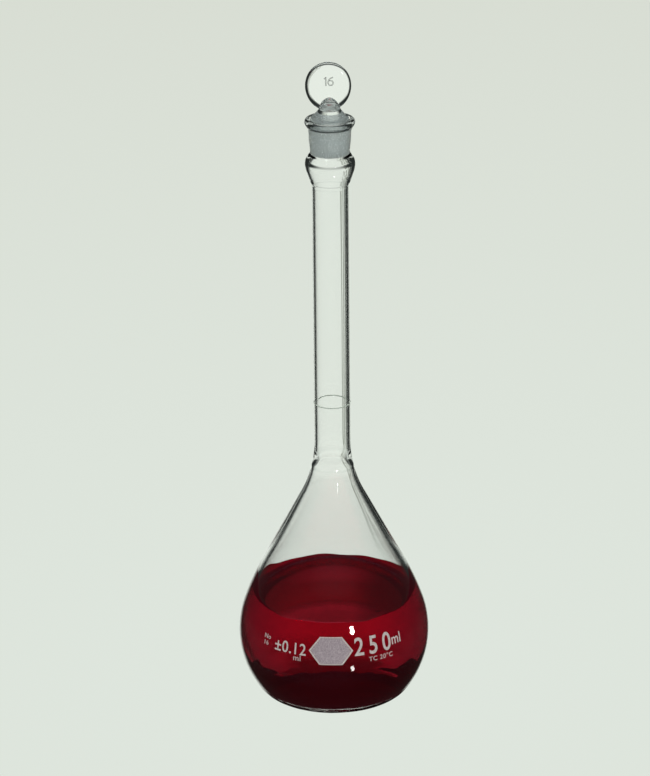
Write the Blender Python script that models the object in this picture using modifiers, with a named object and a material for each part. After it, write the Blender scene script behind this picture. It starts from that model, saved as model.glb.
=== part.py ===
"""Glass volumetric flask, 250 ml, with a ground penny-head stopper.

The flask stands on the XY plane with +Z up its axis, and its write-on patch faces -Y.
It is an assembly of separate pieces: a blown bulb, a neck tube and a stopper socket, which
are sealed together in the flame, a loose stopper, the fired graduation line and write-on
patch, and the red solution that the flask holds.

Turned pieces are profiles in the XZ plane, swept round the Z axis by a Screw modifier.
"""

import math

import bmesh
import bpy

MM = 0.001

# Bulb: a flat foot, a tight heel, a ball, a longer shoulder arc and a straight cone.
BULB_RADIUS = 40.0 * MM
BULB_CENTRE_Z = 26.3 * MM
HEEL_RADIUS = 6.4 * MM
SHOULDER_RADIUS = 128.0 * MM
SHOULDER_START = math.radians(19.5)
CONE_HALF_ANGLE = math.radians(27.7)
FLARE_RADIUS = 50.0 * MM
FOOT_FLAT_WIDTH = 4.6 * MM
PUSH_UP_HEIGHT = 0.9 * MM
BULB_WALL = 2.3 * MM
FOOT_WALL = 2.8 * MM

# Neck: a parallel tube between the lower and the upper seal.
NECK_RADIUS = 7.5 * MM
NECK_WALL = 1.05 * MM
LOWER_SEAL_Z = 101.2 * MM
UPPER_SEAL_Z = 224.3 * MM
WALL_BLEND_START_Z = 62.0 * MM
WALL_BLEND_END_Z = 106.0 * MM

# Graduation line: a fired ring round the neck.
LINE_Z = 129.7 * MM
LINE_HEIGHT = 0.45 * MM
LINE_THICKNESS = 0.12 * MM

# Ground joint: a 1 in 10 taper on the diameter, shared by the plug and the socket.
PLUG_TOP_Z = 253.4 * MM
PLUG_TOP_RADIUS = 7.9 * MM
PLUG_LENGTH = 14.9 * MM
TAPER_PER_SIDE = 0.05
GRIND_CLEARANCE = 0.05 * MM
PLUG_EDGE = 0.35 * MM

# Socket and bell, outside.
RIM_Z = 253.2 * MM
RIM_RADIUS = 10.3 * MM
RIM_WIDEST_Z = 251.9 * MM
SOCKET_TOP_RADIUS = 8.64 * MM
SOCKET_TOP_Z = 247.6 * MM
SOCKET_FOOT_RADIUS = 8.08 * MM
SOCKET_FOOT_Z = 239.6 * MM
BELL_RADIUS = 10.25 * MM
BELL_Z = 233.9 * MM
BELL_FOOT_RADIUS = 7.9 * MM
BELL_WALL = 1.5 * MM

# Stopper head: a flat disc, a little to the left of the round stem that runs up into it.
WAIST_Z = 257.8 * MM
WAIST_RADIUS = 4.3 * MM
STEM_TOP_Z = 262.4 * MM
HEAD_SHIFT = 0.5 * MM
HEAD_Z = 267.4 * MM
HEAD_WIDTH = 18.6 * MM
HEAD_RISE = 9.6 * MM
HEAD_DROP = 10.6 * MM
HEAD_THICKNESS = 4.4 * MM
HEAD_EDGE_RADIUS = 1.5 * MM

# Red solution: its level, and how far it stays from the glass.
SOLUTION_Z = 43.5 * MM
SOLUTION_GAP = 0.3 * MM

# Write-on patch: a six-sided mark on the ball, a little above its equator.
PATCH_AZIMUTH = math.radians(-2.1)
PATCH_LATITUDE = math.radians(11.0)
PATCH_WIDTH = 18.6 * MM
PATCH_FLAT_WIDTH = 9.6 * MM
PATCH_HEIGHT = 12.0 * MM
PATCH_THICKNESS = 0.12 * MM

# Gaps and fineness.
SEAL_GAP = 0.1 * MM
MARK_GAP = 0.05 * MM
MERGE_DISTANCE = 0.001 * MM
TURNED_STEPS = 48
CURVE_STEPS = 2
FOOT_STEPS = 4
HEEL_STEPS = 4
BALL_STEPS = 10
SHOULDER_STEPS = 2
FLARE_STEPS = 6
HEAD_BEVEL_STEPS = 3
PATCH_COLUMNS = 10
PATCH_ROWS = 6


# --- Scene and materials ---


def clear_scene():
    for obj in list(bpy.data.objects):
        bpy.data.objects.remove(obj, do_unlink=True)


def new_collection(name):
    collection = bpy.data.collections.new(name)
    bpy.context.scene.collection.children.link(collection)
    return collection


def material(name, color, roughness, transmission=0.0, ior=1.5):
    made = bpy.data.materials.new(name)
    made.use_nodes = True
    shader = made.node_tree.nodes["Principled BSDF"]
    shader.inputs["Base Color"].default_value = (*color, 1.0)
    shader.inputs["Roughness"].default_value = roughness
    shader.inputs["Metallic"].default_value = 0.0
    shader.inputs["Transmission Weight"].default_value = transmission
    shader.inputs["IOR"].default_value = ior
    made.diffuse_color = (*color, 1.0)
    return made


def clear_glass(name):
    return material(name, (0.86, 0.92, 0.88), roughness=0.02, transmission=1.0, ior=1.474)


# --- Profiles, as lists of (radius, height) ---


def arc(centre, radius, start, end, count):
    """Points on an arc, from one angle to the other, both ends included."""
    steps = [start + (end - start) * i / count for i in range(count + 1)]
    return [(centre[0] + radius * math.cos(a), centre[1] + radius * math.sin(a)) for a in steps]


def smooth_curve(points, steps):
    """A Catmull-Rom curve through the points, with this many steps between each two."""
    padded = [points[0], *points, points[-1]]
    curve = []
    for a, b, c, d in zip(padded, padded[1:], padded[2:], padded[3:]):
        for i in range(steps):
            t = i / steps
            weights = (
                (-t + 2 * t**2 - t**3) / 2,
                (2 - 5 * t**2 + 3 * t**3) / 2,
                (t + 4 * t**2 - 3 * t**3) / 2,
                (-(t**2) + t**3) / 2,
            )
            curve.append(tuple(sum(w * p[k] for w, p in zip(weights, (a, b, c, d))) for k in (0, 1)))
    return [*curve, points[-1]]


def blend(low, high, value):
    """0 below low, 1 above high, and a smooth step between them."""
    t = min(max((value - low) / (high - low), 0.0), 1.0)
    return t * t * (3 - 2 * t)


def split_at(profile, height):
    """The stretches below and above a height, which the profile rises through once."""
    rises = [z0 < height <= z1 for (_, z0), (_, z1) in zip(profile, profile[1:])]
    i = rises.index(True)
    (r0, z0), (r1, z1) = profile[i], profile[i + 1]
    cut = (r0 + (r1 - r0) * (height - z0) / (z1 - z0), height)
    return [*profile[: i + 1], cut], [cut, *profile[i + 1 :]]


def offset_inwards(profile, wall_at):
    """The inner surface of a wall, wall_at(z) thick, whose outer profile runs up from the axis."""
    inner = []
    for i, (r, z) in enumerate(profile):
        before = profile[max(i - 1, 0)]
        after = profile[min(i + 1, len(profile) - 1)]
        along_r = after[0] - before[0]
        along_z = after[1] - before[1]
        length = math.hypot(along_r, along_z)
        wall = wall_at(z)
        inner.append((max(r - wall * along_z / length, 0.0), z + wall * along_r / length))
    inner[0] = (0.0, inner[0][1])
    return inner


def flask_outside():
    """The outer profile of bulb and neck, from the middle of the foot to the upper seal."""
    ball_reach = BULB_RADIUS - HEEL_RADIUS
    heel_r = math.sqrt(ball_reach**2 - (BULB_CENTRE_Z - HEEL_RADIUS) ** 2)
    heel_end = math.atan2(HEEL_RADIUS - BULB_CENTRE_Z, heel_r)
    push_up_r = heel_r - FOOT_FLAT_WIDTH
    parts = [i / FOOT_STEPS for i in range(FOOT_STEPS + 1)]
    foot = [(push_up_r * t, PUSH_UP_HEIGHT * (1 - blend(0, 1, t))) for t in parts]
    heel = arc((heel_r, HEEL_RADIUS), HEEL_RADIUS, -math.pi / 2, heel_end, HEEL_STEPS)
    ball = arc((0.0, BULB_CENTRE_Z), BULB_RADIUS, heel_end, SHOULDER_START, BALL_STEPS)
    shoulder_shift = BULB_RADIUS - SHOULDER_RADIUS
    shoulder_centre = (
        shoulder_shift * math.cos(SHOULDER_START),
        BULB_CENTRE_Z + shoulder_shift * math.sin(SHOULDER_START),
    )
    shoulder = arc(
        shoulder_centre, SHOULDER_RADIUS, SHOULDER_START, CONE_HALF_ANGLE, SHOULDER_STEPS
    )
    # The flare's centre lies outside the neck, at one flare radius from both cone and neck.
    cone_reach = SHOULDER_RADIUS + FLARE_RADIUS
    cone_reach += shoulder_centre[0] * math.cos(CONE_HALF_ANGLE)
    cone_reach += shoulder_centre[1] * math.sin(CONE_HALF_ANGLE)
    flare_r = NECK_RADIUS + FLARE_RADIUS
    flare_z = (cone_reach - flare_r * math.cos(CONE_HALF_ANGLE)) / math.sin(CONE_HALF_ANGLE)
    flare_start = math.pi + CONE_HALF_ANGLE
    flare = arc((flare_r, flare_z), FLARE_RADIUS, flare_start, math.pi, FLARE_STEPS)
    return [*foot, *heel, *ball[1:], *shoulder[1:], *flare, (NECK_RADIUS, UPPER_SEAL_Z)]


def flask_wall(z):
    """Wall thickness: thickest in the foot, even in the ball, thinner up the cone to the neck."""
    low = FOOT_WALL + (BULB_WALL - FOOT_WALL) * blend(0.0, HEEL_RADIUS, z)
    return low + (NECK_WALL - low) * blend(WALL_BLEND_START_Z, WALL_BLEND_END_Z, z)


def flask_inside(gap=0.0):
    """The inner profile of bulb and neck, or one that stays this far inside it."""
    return offset_inwards(flask_outside(), lambda z: flask_wall(z) + gap)


def plug_radius(z):
    return PLUG_TOP_RADIUS - TAPER_PER_SIDE * (PLUG_TOP_Z - z)


def socket_outside():
    """From the upper seal to the top of the rim."""
    bell = smooth_curve(
        [
            (BELL_FOOT_RADIUS, UPPER_SEAL_Z + SEAL_GAP),
            (BELL_RADIUS - 1.6 * MM, BELL_Z - 6.4 * MM),
            (BELL_RADIUS - 0.3 * MM, BELL_Z - 2.2 * MM),
            (BELL_RADIUS, BELL_Z),
            (BELL_RADIUS - 0.3 * MM, BELL_Z + 2.1 * MM),
            (SOCKET_FOOT_RADIUS + 0.9 * MM, SOCKET_FOOT_Z - 2.0 * MM),
            (SOCKET_FOOT_RADIUS, SOCKET_FOOT_Z),
            (SOCKET_TOP_RADIUS - 0.06 * MM, SOCKET_TOP_Z - 3.4 * MM),
        ],
        CURVE_STEPS,
    )
    lip = smooth_curve(
        [
            (SOCKET_TOP_RADIUS, SOCKET_TOP_Z),
            (SOCKET_TOP_RADIUS + 0.35 * MM, SOCKET_TOP_Z + 1.7 * MM),
            (RIM_RADIUS - 0.35 * MM, RIM_WIDEST_Z - 1.2 * MM),
            (RIM_RADIUS, RIM_WIDEST_Z),
            (RIM_RADIUS - 0.35 * MM, RIM_Z - 0.35 * MM),
            (RIM_RADIUS - 1.1 * MM, RIM_Z),
        ],
        CURVE_STEPS,
    )
    return [*bell, *lip]


def socket_inside():
    """From the rim down through the ground taper and the bell to the upper seal."""
    taper_top = RIM_Z - 0.5 * MM
    taper_foot = SOCKET_FOOT_Z - 1.1 * MM
    bore = NECK_RADIUS - NECK_WALL
    mouth = (plug_radius(RIM_Z) + 0.45 * MM, RIM_Z)
    ground = [(plug_radius(z) + GRIND_CLEARANCE, z) for z in (taper_top, taper_foot)]
    bell = smooth_curve(
        [
            (plug_radius(taper_foot) + 0.15 * MM, taper_foot - 1.0 * MM),
            (BELL_RADIUS - BELL_WALL - 0.65 * MM, BELL_Z + 1.5 * MM),
            (BELL_RADIUS - BELL_WALL, BELL_Z - 1.0 * MM),
            (BELL_RADIUS - BELL_WALL - 0.9 * MM, BELL_Z - 5.2 * MM),
            (bore, UPPER_SEAL_Z + SEAL_GAP),
        ],
        CURVE_STEPS,
    )
    return [mouth, *ground, *bell]


def stopper_profile():
    """From the top of the stem, inside the disc, down the waist and the ground plug."""
    plug_foot_z = PLUG_TOP_Z - PLUG_LENGTH
    stem = smooth_curve(
        [
            (0.0, STEM_TOP_Z),
            (1.9 * MM, STEM_TOP_Z - 0.4 * MM),
            (3.3 * MM, STEM_TOP_Z - 1.8 * MM),
            (WAIST_RADIUS - 0.15 * MM, WAIST_Z + 1.3 * MM),
            (WAIST_RADIUS, WAIST_Z),
            (WAIST_RADIUS + 0.5 * MM, WAIST_Z - 1.1 * MM),
            (WAIST_RADIUS + 1.5 * MM, WAIST_Z - 2.3 * MM),
            (PLUG_TOP_RADIUS - 1.4 * MM, PLUG_TOP_Z + 0.9 * MM),
        ],
        CURVE_STEPS,
    )
    plug = [
        (PLUG_TOP_RADIUS, PLUG_TOP_Z),
        (plug_radius(plug_foot_z + PLUG_EDGE), plug_foot_z + PLUG_EDGE),
        (plug_radius(plug_foot_z) - PLUG_EDGE, plug_foot_z),
        (0.0, plug_foot_z),
    ]
    return [*stem, *plug]


# --- Objects ---


def mesh_object(name, mesh, mat, collection):
    obj = bpy.data.objects.new(name, mesh)
    mesh.materials.append(mat)
    collection.objects.link(obj)
    return obj


def turned(name, profile, mat, collection, closed=False, base_z=0.0):
    """A solid of revolution. The profile runs down its outer side, and base_z is its origin."""
    points = [(r, 0.0, z - base_z) for r, z in profile]
    edges = [(i, i + 1) for i in range(len(points) - 1)]
    if closed:
        edges.append((len(points) - 1, 0))
    mesh = bpy.data.meshes.new(name)
    mesh.from_pydata(points, edges, [])
    obj = mesh_object(name, mesh, mat, collection)
    obj.location = (0.0, 0.0, base_z)
    screw = obj.modifiers.new("Screw", "SCREW")
    screw.axis = "Z"
    screw.steps = TURNED_STEPS
    screw.render_steps = TURNED_STEPS
    screw.use_merge_vertices = True
    screw.merge_threshold = MERGE_DISTANCE
    screw.use_smooth_shade = True
    return obj


def make_bulb(collection):
    outside, _ = split_at(flask_outside(), LOWER_SEAL_Z)
    inside, _ = split_at(flask_inside(), LOWER_SEAL_Z)
    return turned("bulb", [*inside, *reversed(outside)], clear_glass("bulb_glass"), collection)


def make_neck_tube(collection):
    _, outside = split_at(flask_outside(), LOWER_SEAL_Z + SEAL_GAP)
    _, inside = split_at(flask_inside(), LOWER_SEAL_Z + SEAL_GAP)
    profile = [*inside, *reversed(outside)]
    return turned("neck_tube", profile, clear_glass("neck_glass"), collection, closed=True)


def make_stopper_socket(collection):
    profile = [*reversed(socket_inside()), *reversed(socket_outside())]
    mat = clear_glass("socket_glass")
    return turned("stopper_socket", profile, mat, collection, closed=True)


def make_stopper(collection, cutters):
    """The turned stem and plug, joined to a flat disc with rounded edges that is taller below."""
    mat = clear_glass("stopper_glass")
    stopper = turned("stopper", stopper_profile(), mat, collection, base_z=PLUG_TOP_Z)
    disc_mesh = bpy.data.meshes.new("stopper_disc")
    shape = bmesh.new()
    bmesh.ops.create_cone(
        shape,
        cap_ends=True,
        segments=TURNED_STEPS,
        radius1=HEAD_WIDTH / 2,
        radius2=HEAD_WIDTH / 2,
        depth=HEAD_THICKNESS,
    )
    for vert in shape.verts:
        reach = HEAD_RISE if vert.co.y > 0 else HEAD_DROP
        vert.co = (vert.co.x, vert.co.z, vert.co.y * reach / (HEAD_WIDTH / 2))
    bmesh.ops.recalc_face_normals(shape, faces=shape.faces)
    shape.to_mesh(disc_mesh)
    shape.free()
    disc_mesh.shade_smooth()
    disc = mesh_object("stopper_disc", disc_mesh, mat, cutters)
    disc.location = (-HEAD_SHIFT, 0.0, HEAD_Z)
    disc.hide_render = True
    disc.display_type = "WIRE"
    bevel = disc.modifiers.new("Rounded edge", "BEVEL")
    bevel.width = HEAD_EDGE_RADIUS
    bevel.segments = HEAD_BEVEL_STEPS
    bevel.limit_method = "ANGLE"
    union = stopper.modifiers.new("Disc", "BOOLEAN")
    union.operation = "UNION"
    union.solver = "EXACT"
    union.object = disc
    return stopper


def make_red_solution(collection):
    """The liquid, a little smaller than the inside of the bulb and flat on top."""
    wetted, _ = split_at(flask_inside(SOLUTION_GAP), SOLUTION_Z)
    profile = [(0.0, SOLUTION_Z), *reversed(wetted)]
    mat = material("red_solution", (0.30, 0.0, 0.02), roughness=0.0, transmission=1.0, ior=1.333)
    return turned("red_solution", profile, mat, collection)


def make_graduation_line(collection):
    inner = NECK_RADIUS + MARK_GAP
    outer = inner + LINE_THICKNESS
    low = LINE_Z - LINE_HEIGHT / 2
    high = LINE_Z + LINE_HEIGHT / 2
    profile = [(inner, high), (outer, high), (outer, low), (inner, low)]
    mat = material("line_enamel", (0.55, 0.58, 0.56), roughness=0.5)
    return turned("graduation_line", profile, mat, collection, closed=True)


def make_marking_patch(collection):
    """A six-sided sheet of enamel that follows the ball."""
    mesh = bpy.data.meshes.new("marking_patch")
    shape = bmesh.new()
    bmesh.ops.create_grid(shape, x_segments=PATCH_COLUMNS, y_segments=PATCH_ROWS, size=1.0)
    radius = BULB_RADIUS + MARK_GAP
    for vert in shape.verts:
        point_in = (PATCH_WIDTH - PATCH_FLAT_WIDTH) * abs(vert.co.y)
        across = vert.co.x * (PATCH_WIDTH - point_in) / 2
        up = vert.co.y * PATCH_HEIGHT / 2
        latitude = PATCH_LATITUDE + up / radius
        azimuth = PATCH_AZIMUTH + across / (radius * math.cos(PATCH_LATITUDE))
        vert.co = (
            radius * math.cos(latitude) * math.sin(azimuth),
            -radius * math.cos(latitude) * math.cos(azimuth),
            BULB_CENTRE_Z + radius * math.sin(latitude),
        )
    bmesh.ops.recalc_face_normals(shape, faces=shape.faces)
    shape.to_mesh(mesh)
    shape.free()
    mesh.shade_smooth()
    mat = material("patch_enamel", (0.62, 0.58, 0.62), roughness=0.7)
    patch = mesh_object("marking_patch", mesh, mat, collection)
    solidify = patch.modifiers.new("Enamel", "SOLIDIFY")
    solidify.thickness = PATCH_THICKNESS
    solidify.offset = 1.0
    return patch


def main():
    clear_scene()
    flask = new_collection("volumetric_flask")
    cutters = new_collection("cutters")
    make_bulb(flask)
    make_neck_tube(flask)
    make_stopper_socket(flask)
    make_stopper(flask, cutters)
    make_red_solution(flask)
    make_graduation_line(flask)
    make_marking_patch(flask)


main()
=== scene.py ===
"""Looks of the 250 ml volumetric flask: fine glass, red solution, fired marks and studio.

Each turned piece follows the outline of its CAD node with finer steps, and is a closed mesh.
The glass that the solution wets bends light by the ratio of glass to water, so the solution
fills the bulb without an air gap showing.
"""

import math

import bmesh
import bpy
import numpy as np
from mathutils import Matrix, Vector


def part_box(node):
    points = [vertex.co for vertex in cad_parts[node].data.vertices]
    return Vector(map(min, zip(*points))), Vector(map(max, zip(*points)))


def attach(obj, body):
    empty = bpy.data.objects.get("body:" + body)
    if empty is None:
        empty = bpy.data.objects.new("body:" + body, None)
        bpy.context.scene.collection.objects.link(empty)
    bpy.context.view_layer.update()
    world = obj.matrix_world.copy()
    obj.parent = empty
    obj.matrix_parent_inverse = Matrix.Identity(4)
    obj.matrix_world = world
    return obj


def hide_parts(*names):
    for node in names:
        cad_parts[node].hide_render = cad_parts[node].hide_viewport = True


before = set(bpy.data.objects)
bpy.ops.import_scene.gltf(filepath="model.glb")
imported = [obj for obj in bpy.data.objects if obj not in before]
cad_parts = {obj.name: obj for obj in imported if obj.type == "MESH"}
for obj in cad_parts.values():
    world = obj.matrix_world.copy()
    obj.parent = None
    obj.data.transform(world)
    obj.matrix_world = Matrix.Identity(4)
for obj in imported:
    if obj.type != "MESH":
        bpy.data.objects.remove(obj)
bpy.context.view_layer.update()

MM = 0.001

# Sizes and heights read from the frame.
LOWER_SEAL_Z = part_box("bulb")[1].z
NECK_START_Z, UPPER_SEAL_Z = (corner.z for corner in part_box("neck_tube"))
SOCKET_START_Z, RIM_Z = (corner.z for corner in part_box("stopper_socket"))
RIM_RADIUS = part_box("stopper_socket")[1].x
PLUG_FOOT_Z, HEAD_TOP_Z = (corner.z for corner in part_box("stopper"))
HEAD_LEFT_X, HEAD_RIGHT_X = (corner.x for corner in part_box("stopper"))
HEAD_WIDTH = HEAD_RIGHT_X - HEAD_LEFT_X
HEAD_X = (HEAD_RIGHT_X + HEAD_LEFT_X) / 2
SOLUTION_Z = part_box("red_solution")[1].z
LINE_LOW_Z, LINE_HIGH_Z = (corner.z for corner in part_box("graduation_line"))
LINE_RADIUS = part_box("graduation_line")[1].x

# Bulb.
BULB_RADIUS = 40.0 * MM
BULB_CENTRE_Z = 26.3 * MM
HEEL_RADIUS = 6.4 * MM
SHOULDER_RADIUS = 128.0 * MM
SHOULDER_START = math.radians(19.5)
CONE_HALF_ANGLE = math.radians(27.7)
FLARE_RADIUS = 50.0 * MM
FOOT_FLAT_WIDTH = 4.6 * MM
PUSH_UP_HEIGHT = 0.9 * MM
BULB_WALL = 2.3 * MM
FOOT_WALL = 2.8 * MM
# The heel's ripples fade out between two heights, and come in between two radii.
RIPPLE_HEIGHT = 1.0 * MM
RIPPLE_FADE_Z = (1.5 * MM, 5.0 * MM)
RIPPLE_START_RADII = (20.0 * MM, 25.0 * MM)

# Neck.
NECK_RADIUS = 7.5 * MM
NECK_WALL = 1.05 * MM
WALL_BLEND_START_Z = 62.0 * MM
WALL_BLEND_END_Z = 106.0 * MM
SEAL_REACH = 0.04 * MM
BEAD_HEIGHT = 0.14 * MM
BEAD_SPREAD = 0.9 * MM
SEAL_WALL_EXTRA = 0.5 * MM
SEAL_WALL_SPREAD = 3.0 * MM

# Ground joint, socket and bell.
PLUG_LENGTH = 14.9 * MM
PLUG_TOP_Z = PLUG_FOOT_Z + PLUG_LENGTH
PLUG_TOP_RADIUS = 7.9 * MM
TAPER_PER_SIDE = 0.05
GRIND_CLEARANCE = 0.05 * MM
PLUG_EDGE = 0.45 * MM
GROUND_START = 3.1 * MM
RIM_WIDEST_Z = RIM_Z - 1.3 * MM
SOCKET_TOP_RADIUS = 8.64 * MM
SOCKET_TOP_Z = RIM_Z - 5.6 * MM
SOCKET_FOOT_RADIUS = 8.08 * MM
SOCKET_FOOT_Z = RIM_Z - 13.6 * MM
BELL_RADIUS = 10.25 * MM
BELL_Z = RIM_Z - 19.3 * MM
BELL_FOOT_RADIUS = 7.9 * MM
BELL_WALL = 1.5 * MM

# Stopper head.
WAIST_Z = PLUG_TOP_Z + 4.4 * MM
WAIST_RADIUS = 4.3 * MM
STEM_TOP_Z = PLUG_TOP_Z + 9.0 * MM
HEAD_RISE = 9.6 * MM
HEAD_DROP = 10.6 * MM
HEAD_Z = HEAD_TOP_Z - HEAD_RISE
HEAD_THICKNESS = 4.4 * MM
HEAD_EDGE_RADIUS = 1.85 * MM
HEAD_FILLET = 0.4 * MM
DISC_MARK_HEIGHT = 3.7 * MM
DISC_MARK_RISE = 2.6 * MM
DISC_STROKE_RADIUS = 0.24 * MM
# Each ring is traced outwards from its middle, at angles that crowd towards the disc's edge.
HEAD_FLATNESS = 0.72
HEAD_FLATNESS_RISE = 6.0 * MM
HEAD_SEARCH_REACH = 14.0 * MM
HEAD_SEARCH_STEPS = 40
# How fast the distance to the stem grows above its top.
ABOVE_STEM_SLOPE = 3

# Solution: its meniscus climbs the wall, and a film left by swirling it clings higher at the sides.
SOLUTION_GAP = 0.03 * MM
MENISCUS_RISE = 0.8 * MM
MENISCUS_REACH = 0.8 * MM
CONTACT_Z = SOLUTION_Z + MENISCUS_RISE
FILM_RISE = 8.0 * MM
FILM_STRETCH_BELOW = 4.0 * MM
FILM_STRETCH_ABOVE = 16.0 * MM
# The film falls away from its two peaks faster in front than at the back.
FILM_NARROWING_BACK = 3
FILM_NARROWING_FRONT = 16
# The waves of the film's edge, as (height, number round the wall, phase).
FILM_WAVES = ((0.3 * MM, 7, 1.0), (0.2 * MM, 12, 0.0))
# The stretch of wall that the film's points move along.
FILM_WALL_LOW_Z = 20.0 * MM
FILM_WALL_HIGH_Z = 80.0 * MM

# Fired marks.
MARK_GAP = 0.03 * MM
MARK_THICKNESS = 0.09 * MM
PATCH_AZIMUTH = math.radians(-2.1)
PATCH_LATITUDE = math.radians(11.0)
PATCH_WIDTH = 18.6 * MM
PATCH_FLAT_WIDTH = 9.6 * MM
PATCH_HEIGHT = 12.0 * MM
PATCH_BORDER = 0.55 * MM
PATCH_POINT_INSET = 0.1 * MM
# The border's inner edge is this many times as large as the field inside it.
BORDER_CLEARANCE = 1.012
LETTER_CELL = 0.6 * MM
# A capital's height over the size of its font.
CAPITAL_SHARE = 0.7

# Fineness.
TURNED_STEPS = 224
CURVE_STEPS = 10
FOOT_STEPS = 24
HEEL_STEPS = 20
BALL_STEPS = 64
SHOULDER_STEPS = 16
CONE_STEPS = 24
FLARE_STEPS = 96
NECK_STEPS = 12
MOUTH_STEPS = 6
GROUND_STEPS = 24
LINE_CROWN_STEPS = 8
SURFACE_POINTS = 24
# The outer share of the solution's top, which has its own, closer points.
SURFACE_EDGE_SHARE = 0.2
SURFACE_EDGE_POINTS = 57
STEM_STEPS = 80
PLUG_STEPS = 28
PLUG_EDGE_STEPS = 8
PLUG_FOOT_RINGS = 4
HEAD_STEPS = 320
HEAD_LEVELS = 90
ROD_STEPS = 12
ROD_CAP_STEPS = 4
TOUCH = 1e-6

# Materials. Noise scales are in features per metre, and tints are (position, colour) stops.
GLASS_IOR = 1.474
WATER_IOR = 1.333
WHITE = (1.0, 1.0, 1.0)
GLASS_TINTS = [(0.3, (0.985, 0.995, 0.988)), (0.7, (0.995, 1.0, 0.997))]
GLASS_TINT_SCALE = 60.0
WAVE_SCALE = 90.0
WAVE_STRETCH = (1.0, 1.0, 0.35)
WAVE_HEIGHT = 0.4 * MM
DRY_WAVINESS = 0.004
WET_WAVINESS = 0.08
RIPPLE_SCALE = 120.0
# Painted shade on the wetted glass: white face-on, darker where it is seen at a slant.
SLANT_PAINTED_SHADE = [(0.04, WHITE), (0.14, (0.62, 0.62, 0.62)), (0.27, (0.34, 0.34, 0.34))]
GROUND_TINTS = [(0.3, (0.88, 0.93, 0.965)), (0.7, (0.95, 0.98, 1.0))]
GROUND_GRAIN_SCALE = 2600.0
GROUND_GRAIN_HEIGHT = 0.05 * MM
GROUND_BAND_SCALE = 260.0
GROUND_BAND_STRETCH = (0.3, 0.3, 3.0)
# Where the grain is low and where it is high.
GROUND_CLEARNESS = (0.64, 0.48)
GROUND_ROUGHNESS = (0.2, 0.32)
SEAM_TINTS = [(0.35, (0.90, 0.93, 0.92)), (0.65, WHITE)]
SEAM_HAZE_SCALE = 400.0
DYE_COLOUR = (0.80, 0.02, 0.22, 1.0)
DYE_DENSITY = 85.0
# A painted glow: the solution gives off faint red light of its own, which keeps the deepest parts of
# the liquid dark red.
PAINTED_GLOW_COLOUR = (1.0, 0.0, 0.10, 1.0)
PAINTED_GLOW_STRENGTH = 0.013
SURFACE_REFLECTION = (1.0, 0.35, 0.5, 1.0)
SURFACE_WAVE_SCALE = 55.0
SURFACE_WAVE_HEIGHT = 0.3 * MM
ENAMEL_GRAIN_HEIGHT = 0.04 * MM
LETTER_TONES = ((0.44, 0.37, 0.38), (0.64, 0.56, 0.58))
PATCH_TONES = ((0.27, 0.215, 0.255), (0.47, 0.385, 0.44))
LINE_TONES = ((0.86, 0.92, 0.87), (0.95, 0.99, 0.95))
# How much of the light the thin fired line lets through.
LINE_CLEARNESS = 0.75

# Studio, in metres.
CAMERA_PLACE = Vector((-2.87, -1616.4, 803.1)) * MM
CAMERA_AIM = Vector((-2.87, 0.0, 135.8)) * MM
CAMERA_ROLL = math.radians(-0.53)
# The focal length in millimetres, on a sensor 36 mm wide.
CAMERA_LENS = 196.16
CAMERA_TO_FLASK = 1.8
FLOOR_SIZE = 30.0
FLOOR_NEAR = (0.735, 0.792, 0.728)
FLOOR_FAR = (0.690, 0.727, 0.655)
DIM_SKY = [(0.45, (0.022, 0.026, 0.024)), (0.8, (0.22, 0.25, 0.29))]

# The bright card behind the flask. Each edge, as (axis, side, angles), fades between two angles
# from the view direction, in degrees.
BRIGHT_FIELD_DISTANCE = 14.0
BRIGHT_FIELD = (0.85, 0.90, 0.825)
FIELD_EDGES = (
    ("X", 1, (10.0, 21.0)),
    ("X", -1, (14.0, 27.0)),
    ("Y", 1, (8.0, 16.0)),
    ("Y", -1, (14.0, 25.0)),
)
# How far the card itself reaches each way.
FIELD_REACH = 25.0
# Dim uprights on the card's right, which come in between these two angles.
STREAKS_FADE = (4.5, 5.5)
STREAK_TINTS = [(0.44, (0.22, 0.24, 0.19)), (0.52, BRIGHT_FIELD)]
STREAK_SCALE = 3.4
STREAK_STRETCH = (1.0, 0.16, 1.0)

# The floor round the foot as the glass sees it: a shaded ring, and less light on the right.
NEAR_FLOOR_RADIUS = 230.0 * MM
NEAR_FLOOR_FADE_START = 130.0 * MM
NEAR_FLOOR_CELLS = 12
NEAR_FLOOR_DEPTH = 0.4 * MM
SHADE = (0.27, 0.13, 0.13)
SHADE_INNER_RADIUS = 28.0 * MM
SHADE_OUTER_RADIUS = 45.0 * MM
SHADE_END_RADIUS = 55.0 * MM
SIDE_SHADE_START = 5.0 * MM
SIDE_SHADE_END = 18.0 * MM
SIDE_SHADE_LEAST = 0.4
SIDE_SHADE_RADIUS = 75.0 * MM
SIDE_SHADE_FADE = 10.0 * MM

# The lamp and the card that show as two glints on the ball. Directions are from the ball.
SOFTBOX_SIZE = (0.095, 0.14)
SOFTBOX_ENERGY = 2.5
SOFTBOX_DIRECTION = (0.367, -0.100, 0.925)
SOFTBOX_DISTANCE = 1.5
GLINT_CARD_SIZE = (0.025, 0.046)
GLINT_COLOUR = (1.0, 0.98, 0.96, 1.0)
GLINT_STRENGTH = 22.0
GLINT_DIRECTION = (0.331, -0.705, 0.628)
GLINT_DISTANCE = 0.4

# Limits on the light that is followed through the glass.
MOST_BOUNCES = 32
MOST_GLOSSY_BOUNCES = 16
MOST_INDIRECT_LIGHT = 8.0


# --- Materials ---


def set_inputs(node, values):
    """Gives inputs, by their names or numbers, constant values."""
    for name, value in values.items():
        node.inputs[name].default_value = value


def add_node(tree, kind, values=None, **settings):
    """A new shader node, with values for its inputs and settings such as its operation."""
    node = tree.nodes.new(kind)
    for name, value in settings.items():
        setattr(node, name, value)
    set_inputs(node, values or {})
    return node


def link(output, socket):
    """Links two sockets of one node tree."""
    socket.id_data.links.new(output, socket)


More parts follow.
